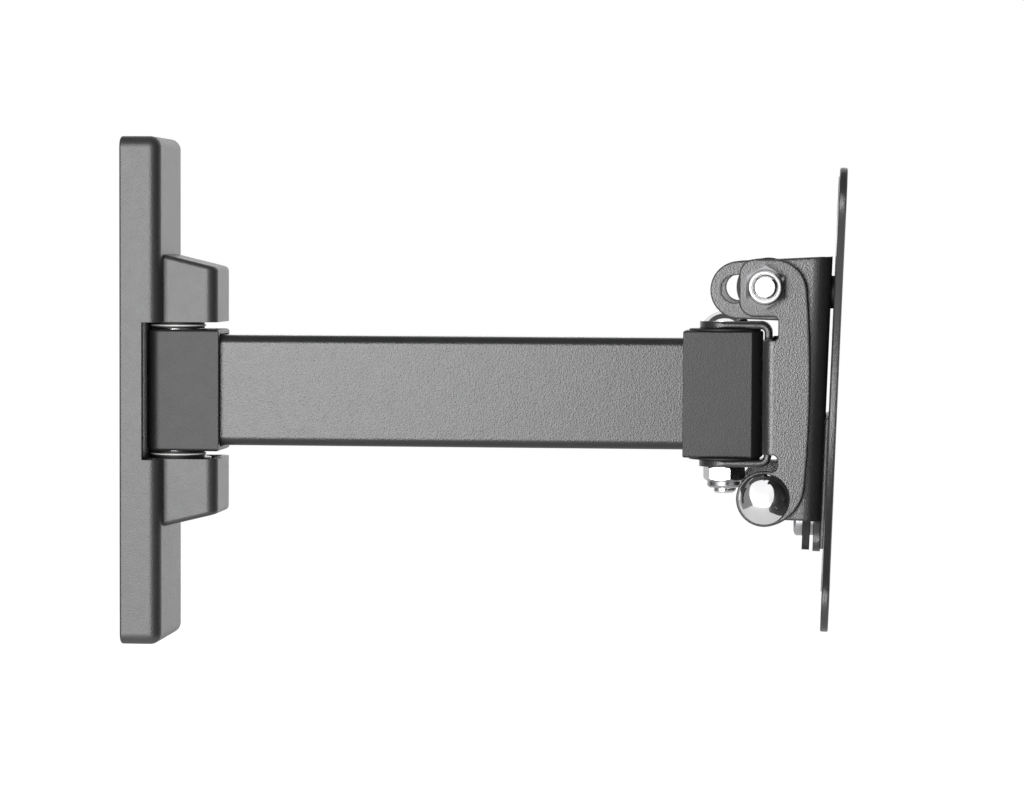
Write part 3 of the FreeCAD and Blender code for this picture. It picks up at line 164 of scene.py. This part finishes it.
RIGHT, BACK, UP = Vector((1, 0, 0)), Vector((0, 1, 0)), Vector((0, 0, 1))
floor_centre = Vector((0.1, 0.0, FLOOR_LEVEL))
floor = stage_panel("pale_floor", floor_centre, FLOOR_REACH * RIGHT, FLOOR_REACH * BACK)
floor_paint = bpy.data.materials.new("pale_floor")
floor_paint.use_nodes = True
tree = floor_paint.node_tree
paint = tree.nodes["Principled BSDF"]
paint.inputs["Base Color"].default_value = (FLOOR_GREY, FLOOR_GREY, FLOOR_GREY, 1.0)
paint.inputs["Roughness"].default_value = 0.9
paint.inputs["Emission Color"].default_value = WHITE
in_view = tree.nodes.new("ShaderNodeMath")
in_view.operation = "MULTIPLY"
in_view.inputs[1].default_value = GLOW_FOR_CAMERA
tree.links.new(tree.nodes.new("ShaderNodeLightPath").outputs["Is Camera Ray"], in_view.inputs[0])
glow = tree.nodes.new("ShaderNodeMath")
glow.operation = "MULTIPLY_ADD"
glow.inputs[1].default_value = GLOW_WHEN_SEEN
tree.links.new(seen_directly(tree), glow.inputs[0])
tree.links.new(in_view.outputs[0], glow.inputs[2])
tree.links.new(glow.outputs[0], paint.inputs["Emission Strength"])
floor.data.materials.append(floor_paint)
print("floor", round(cad_low.z - FLOOR_LEVEL, 2), "m under the mount")


# %% [markdown]
# ## Dark cards
# Satin black paint shows its surroundings more than its own colour. A photographer sets dark cards round
# a black object, so that flat faces turn grey and every rounded edge turns into a black line. Painting
# those lines on would stick them to one view. The cards here are stage panels that only mirrors see.

# %% Cards
def card_paint(name, glow):
    """A plain card that shows one grey, whatever light falls on it."""
    material = bpy.data.materials.new(name)
    material.use_nodes = True
    shader = material.node_tree.nodes["Principled BSDF"]
    shader.inputs["Base Color"].default_value = (0.0, 0.0, 0.0, 1.0)
    shader.inputs["Specular IOR Level"].default_value = 0.0
    shader.inputs["Emission Color"].default_value = WHITE
    shader.inputs["Emission Strength"].default_value = glow
    return material


middle = (cad_low + cad_high) / 2
CARDS = (
    ("card_left", -0.75 * RIGHT - 0.6 * BACK, 1.0 * BACK, 0.8 * UP, 0.30),
    ("card_right", 0.75 * RIGHT - 0.6 * BACK, 1.0 * BACK, 0.8 * UP, 0.02),
    ("card_above", 0.75 * UP - 0.6 * BACK, 1.0 * BACK, -0.8 * RIGHT, 0.10),
    ("card_front", -1.9 * BACK + 0.5 * UP, -1.6 * RIGHT, 1.0 * UP, 0.15),
)
for name, offset, across, up, glow in CARDS:
    card = stage_panel(name, middle + offset, across, up)
    card.data.materials.append(card_paint(name, glow))
    card.visible_camera = False
    card.visible_shadow = False
    card.visible_diffuse = False
print(len(CARDS), "cards round the mount")


# %% [markdown]
# ## Lamps
# One large soft box stands behind the camera, a little to the left: the arm is light at its wall end and
# darker at the head. A sun or a point lamp would give hard spots, so all lamps are square soft boxes.
# Black paint and bright bolts need different amounts of light. A photographer would hide small mirrors
# between them; here two lamps are linked to the solids that need them.

# %% Lamps
def soft_lamp(name, place, target, side, power):
    """A square soft box that points at a target."""
    lamp = bpy.data.lights.new(name, "AREA")
    lamp.shape = "SQUARE"
    lamp.size = side
    lamp.energy = power
    box = bpy.data.objects.new(name, lamp)
    box.location = place
    box.rotation_mode = "QUATERNION"
    box.rotation_quaternion = (Vector(target) - Vector(place)).to_track_quat("-Z", "Y")
    bpy.context.scene.collection.objects.link(box)
    return box


soft_lamp("front_box", (-0.30, -1.6, 0.06), (-0.30, 0.0, 0.06), 0.82, 28.0)
back_lamp = soft_lamp("back_fill", (0.1, 1.8, 0.05), (0.1, 0.0, 0.05), 1.5, 10.0)
top_lamp = soft_lamp("top_fill", (0.1, -0.1, 1.4), (0.1, 0.0, 0.0), 1.0, 8.0)
bolt_glow = soft_lamp("bolt_glow", (0.17, -0.295, 0.114), (0.17, -0.03, -0.0265), 1.1, 4.3)
screen_box = soft_lamp("screen_box", (0.8, 0.3, -0.05), (0.19, 0.3, -0.05), 1.0, 5.0)
top_lamp.visible_glossy = False
for lamp in (back_lamp, bolt_glow, screen_box):
    lamp.visible_camera = False
print("5 soft boxes")


# %% Lamps for some solids only
def shine_only_on(lamp, nodes):
    """Links a lamp to some solids, so that the others don't show it."""
    receivers = bpy.data.collections.new(lamp.name + "_receivers")
    for node in nodes:
        receivers.objects.link(frame["nodes"][node])
    lamp.light_linking.receiver_collection = receivers


slot_of = {subpart["node"]: subpart["material_slot"] for subpart in frame["record"]["subparts"]}
shine_only_on(bolt_glow, [node for node, slot in slot_of.items() if slot in ("zinc_steel", "bright_bolt")])
shine_only_on(screen_box, ["screen_plate", "plate_rivets"])


# %% [markdown]
# ## Finishes
# Each finish is one small node tree with the same few parts: a grain, a faint unevenness of colour and
# gloss, bumps, and softened edges. Image textures would need a flat map of every solid. Noise on Object
# coordinates needs none, stays fixed to the piece and has a real size: a scale of 1500 gives grains of
# about two thirds of a millimetre.

# %% Shader and grain
def finish_tree(name, colour, roughness, metallic=0.0, gloss=0.5):
    """A new material with its shader and its object coordinates ready."""
    material = bpy.data.materials.new(name)
    material.use_nodes = True
    tree = material.node_tree
    shader = tree.nodes["Principled BSDF"]
    shader.inputs["Base Color"].default_value = (*colour, 1.0)
    shader.inputs["Roughness"].default_value = roughness
    shader.inputs["Metallic"].default_value = metallic
    shader.inputs["Specular IOR Level"].default_value = gloss
    place = tree.nodes.new("ShaderNodeTexCoord").outputs["Object"]
    return material, tree, shader, place


def grain(tree, place, scale, detail):
    """Noise whose grains are about one scale-th of a metre."""
    noise = tree.nodes.new("ShaderNodeTexNoise")
    noise.inputs["Scale"].default_value = scale
    noise.inputs["Detail"].default_value = detail
    noise.inputs["Roughness"].default_value = 0.5
    tree.links.new(place, noise.inputs["Vector"])
    return noise.outputs["Fac"]


print("grain from noise on object coordinates")

# %% Uneven colour and gloss
NOISE_LOW, NOISE_HIGH = 0.3, 0.7


def between(tree, factor, low, high):
    """A number that follows a grain from low to high."""
    spread = tree.nodes.new("ShaderNodeMapRange")
    spread.inputs["From Min"].default_value = NOISE_LOW
    spread.inputs["From Max"].default_value = NOISE_HIGH
    spread.inputs["To Min"].default_value = low
    spread.inputs["To Max"].default_value = high
    tree.links.new(factor, spread.inputs["Value"])
    return spread.outputs["Result"]


def tinted(tree, factor, dark, light):
    """A colour that follows a grain between two greys."""
    ramp = tree.nodes.new("ShaderNodeValToRGB")
    for stop, position, colour in zip(ramp.color_ramp.elements, (NOISE_LOW, NOISE_HIGH), (dark, light)):
        stop.position = position
        stop.color = (*colour, 1.0)
    tree.links.new(factor, ramp.inputs["Fac"])
    return ramp.outputs["Color"]


def make_uneven(tree, shader, factor, colours, glosses):
    """Lets a grain vary the colour and the roughness of a shader."""
    tree.links.new(tinted(tree, factor, *colours), shader.inputs["Base Color"])
    tree.links.new(between(tree, factor, *glosses), shader.inputs["Roughness"])


print("unevenness between noise values", NOISE_LOW, "and", NOISE_HIGH)


# %% Bumps and softened edges
def raise_bumps(tree, shader, height, depth, edge):
    """Bumps of a real depth on normals that turn round sharp edges, as paint and plating do."""
    turned = tree.nodes.new("ShaderNodeBevel")
    turned.samples = 6
    turned.inputs["Radius"].default_value = edge
    bump = tree.nodes.new("ShaderNodeBump")
    bump.inputs["Distance"].default_value = depth
    bump.inputs["Strength"].default_value = 1.0
    tree.links.new(height, bump.inputs["Height"])
    tree.links.new(turned.outputs["Normal"], bump.inputs["Normal"])
    tree.links.new(bump.outputs["Normal"], shader.inputs["Normal"])


print("bumps have a depth in metres")


# %% [markdown]
# ## Powder coat
# The steel is powder coated: satin black, pebbled like orange peel. On the stamped head the pebbles are
# coarse and glossy, on the arm they are finer, and the small lock plate under the head is matt. A
# displaced mesh could carry such pebbles, but they are only hundredths of a millimetre high, so bumps do.

# %% Powder coats
def powder_coat(name, depth, roughness, grain_scale, gloss, edge):
    """Satin black powder coat: pebbled like orange peel, a little uneven in gloss."""
    material, tree, shader, place = finish_tree(name, (0.020, 0.0203, 0.021), roughness, gloss=gloss)
    pebbles = grain(tree, place, grain_scale, 1.0)
    clouds = grain(tree, place, 300.0, 2.0)
    greys = (0.018, 0.0183, 0.019), (0.022, 0.0223, 0.023)
    make_uneven(tree, shader, clouds, greys, (roughness - 0.01, roughness + 0.01))
    raise_bumps(tree, shader, pebbles, depth, edge)
    return material


head_coat = powder_coat("pebbled_powder_coat", 0.07 * MM, 0.32, 2800.0, 0.8, 0.8 * MM)
arm_coat = powder_coat("fine_powder_coat", 0.05 * MM, 0.30, 2600.0, 0.5, 0.4 * MM)
lock_coat = powder_coat("matt_powder_coat", 0.04 * MM, 0.55, 2600.0, 0.2, 0.3 * MM)
print("powder coats", head_coat.name, arm_coat.name, lock_coat.name)


# %% [markdown]
# ## Moulded plastic
# The cover, the arm's sleeve and its end cap come from etched moulds, which leave a fine dull grain. Bushes
# and washers are smooth nylon. One recipe serves them all, with other values for colour, gloss and grain.
# The cover has rounded edges of its own, so its softened edges stay small.

# %% Plastics
def moulded_plastic(name, colour, roughness, depth, edge, gloss=0.5):
    """Plastic with the fine grain of an etched mould."""
    material, tree, shader, place = finish_tree(name, colour, roughness, gloss=gloss)
    etched = grain(tree, place, 2600.0, 2.0)
    clouds = grain(tree, place, 300.0, 2.0)
    greys = [tuple(share * c for c in colour) for share in (0.92, 1.08)]
    make_uneven(tree, shader, clouds, greys, (roughness - 0.01, roughness + 0.01))
    raise_bumps(tree, shader, etched, depth, edge)
    return material


cover_plastic = moulded_plastic(
    "grained_cover_plastic", (0.022, 0.0223, 0.023), 0.48, 0.06 * MM, 0.15 * MM, gloss=1.0
)
sleeve_plastic = moulded_plastic(
    "matt_sleeve_plastic", (0.018, 0.0182, 0.019), 0.48, 0.07 * MM, 0.4 * MM
)
black_nylon = moulded_plastic("black_nylon", (0.012, 0.012, 0.0125), 0.60, 0.01 * MM, 0.3 * MM)
white_nylon = moulded_plastic("white_nylon", (0.72, 0.72, 0.70), 0.40, 0.01 * MM, 0.2 * MM)
print("plastics", cover_plastic.name, sleeve_plastic.name, black_nylon.name, white_nylon.name)


# %% [markdown]
# ## Bright metal
# The bolts are polished and plated, the nuts, rivets and pins are bright zinc. A perfect mirror looks like
# a drawing, so the plating gets faint polishing marks and patches that are a little duller.

# %% Metals
def bright_metal(name, colour, roughness, grain_scale, depth):
    """Plated steel: a mirror with faint polishing marks and patches."""
    material, tree, shader, place = finish_tree(name, colour, roughness, metallic=1.0)
    marks = grain(tree, place, grain_scale, 3.0)
    patches = grain(tree, place, 250.0, 2.0)
    greys = tuple(0.92 * c for c in colour), colour
    make_uneven(tree, shader, patches, greys, (0.8 * roughness, 1.2 * roughness))
    raise_bumps(tree, shader, marks, depth, 0.2 * MM)
    return material


chrome = bright_metal("polished_chrome", (0.78, 0.78, 0.79), 0.08, 900.0, 0.004 * MM)
zinc = bright_metal("bright_zinc", (0.42, 0.42, 0.43), 0.24, 2500.0, 0.01 * MM)
print("metals", chrome.name, zinc.name)

# %% [markdown]
# ## Dress the solids
# The CAD record says which finish every solid has. Most solids of a slot share one material, and four get
# their own: the arm, the small lock plate, and the sleeve and cap, which are duller than the cover. Going
# by the record means that no solid is forgotten.

# %% Give every solid its finish
finish_of_slot = {
    "moulded_cover": cover_plastic,
    "coated_steel": head_coat,
    "zinc_steel": zinc,
    "bright_bolt": chrome,
    "white_nylon": white_nylon,
    "black_nylon": black_nylon,
}
own_finish = {
    "arm_tube": arm_coat,
    "lock_plate": lock_coat,
    "wall_end_sleeve": sleeve_plastic,
    "head_end_cap": sleeve_plastic,
}
for name, solid in frame["nodes"].items():
    solid.data.materials.clear()
    solid.data.materials.append(own_finish.get(name, finish_of_slot[slot_of[name]]))
print(len(frame["nodes"]), "solids dressed,", len(own_finish), "with a finish of their own")


# %% [markdown]
# ## New pieces
# A few small pieces are too fine for the CAD model. Each is shaped as a bmesh, cleaned, and handed to the
# body that carries it, so that it moves with the joint.

# %% Riding pieces
def riding_piece(name, shape, body, finish):
    """Makes a finished bmesh into a piece that moves with a CAD body."""
    bmesh.ops.remove_doubles(shape, verts=shape.verts, dist=0.001 * MM)
    bmesh.ops.recalc_face_normals(shape, faces=shape.faces)
    mesh = bpy.data.meshes.new(name)
    for face in shape.faces:
        face.smooth = True
    shape.to_mesh(mesh)
    shape.free()
    mesh.set_sharp_from_angle(angle=math.radians(35))
    mesh.materials.append(finish)
    piece = bpy.data.objects.new(name, mesh)
    bpy.context.scene.collection.objects.link(piece)
    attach(piece, body)
    print(name, len(mesh.polygons), "faces on", body)


# %% [markdown]
# ## Bearing washers
# A pale plastic washer shows as a thin line between the arm's sleeve and each lug of the cover. It could
# be a band of colour on the bush, but a washer is a ring with an edge of its own. One rectangle with
# bevelled corners, spun round the wall pin, makes it.

# %% Pivot washers
PIN_X = 13.0 * MM
WASHER_INNER = 7.1 * MM
WASHER_OUTER = 7.6 * MM
WASHER_HALF = 0.22 * MM
WASHER_CORNER = 0.12 * MM
WASHER_HEIGHT = 17.5 * MM


def pivot_washer(name, height):
    """A thin ring round the wall pin."""
    shape = bmesh.new()
    corners = [
        shape.verts.new((PIN_X + radius, 0.0, height + rise))
        for radius, rise in (
            (WASHER_INNER, -WASHER_HALF), (WASHER_OUTER, -WASHER_HALF),
            (WASHER_OUTER, WASHER_HALF), (WASHER_INNER, WASHER_HALF),
        )
    ]
    shape.faces.new(corners)
    bmesh.ops.bevel(
        shape, geom=corners, offset=WASHER_CORNER, offset_type="OFFSET", segments=2, profile=0.5,
        affect="VERTICES", material=-1,
    )
    rim = list(shape.edges)
    bmesh.ops.delete(shape, geom=list(shape.faces), context="FACES_ONLY")
    bmesh.ops.spin(
        shape, geom=rim, cent=(PIN_X, 0.0, 0.0), axis=(0.0, 0.0, 1.0), angle=math.tau, steps=96,
        use_merge=True,
    )
    riding_piece(name, shape, "arm", white_nylon)


pivot_washer("pivot_washer_upper", WASHER_HEIGHT)
pivot_washer("pivot_washer_lower", -WASHER_HEIGHT)

# %% [markdown]
# ## Threads
# The three bolts end just past their nuts, and there the thread shows. A texture could only draw it, so
# a small tooth is spun round the bolt and lifted a little with each step, which winds it into a screw.

# %% Bolt threads
BOLT_RADIUS = 3.0 * MM
PITCH = 1.0 * MM
TOOTH = 0.24 * MM
ROOT = BOLT_RADIUS - 0.03 * MM
CREST = BOLT_RADIUS + TOOTH
SUNK = 0.1 * MM
TURNS = 0.7
STEPS = 36


def bolt_thread(name, nut_top, out):
    """Part of a turn of thread on the end of a bolt, from the top of its nut outwards."""
    shape = bmesh.new()
    corners = [
        shape.verts.new((radius, 0.0, share * PITCH - SUNK))
        for radius, share in ((ROOT, -0.42), (CREST, -0.08), (CREST, 0.08), (ROOT, 0.42))
    ]
    tooth = shape.faces.new(corners)
    bmesh.ops.spin(
        shape, geom=[tooth], cent=(0.0, 0.0, 0.0), axis=(0.0, 0.0, 1.0),
        dvec=(0.0, 0.0, PITCH * TURNS / STEPS), angle=math.tau * TURNS, steps=STEPS,
    )
    open_edges = [edge for edge in shape.edges if edge.is_boundary]
    bmesh.ops.holes_fill(shape, edges=open_edges, sides=0)
    turn = Vector(out).to_track_quat("Z", "Y").to_matrix().to_4x4()
    bmesh.ops.transform(shape, matrix=Matrix.Translation(Vector(nut_top) * MM) @ turn, verts=shape.verts)
    riding_piece(name, shape, "swivel_head", zinc)


# The middle of each nut's outer face in millimetres, and the direction out of it.
bolt_thread("swivel_bolt_thread", (162.1, 0.0, -25.3), (0, 0, -1))
bolt_thread("tilt_lock_bolt_thread", (173.3, -31.8, 29.0), (0, -1, 0))
bolt_thread("tilt_pivot_bolt_thread", (173.3, 31.8, -26.5), (0, 1, 0))
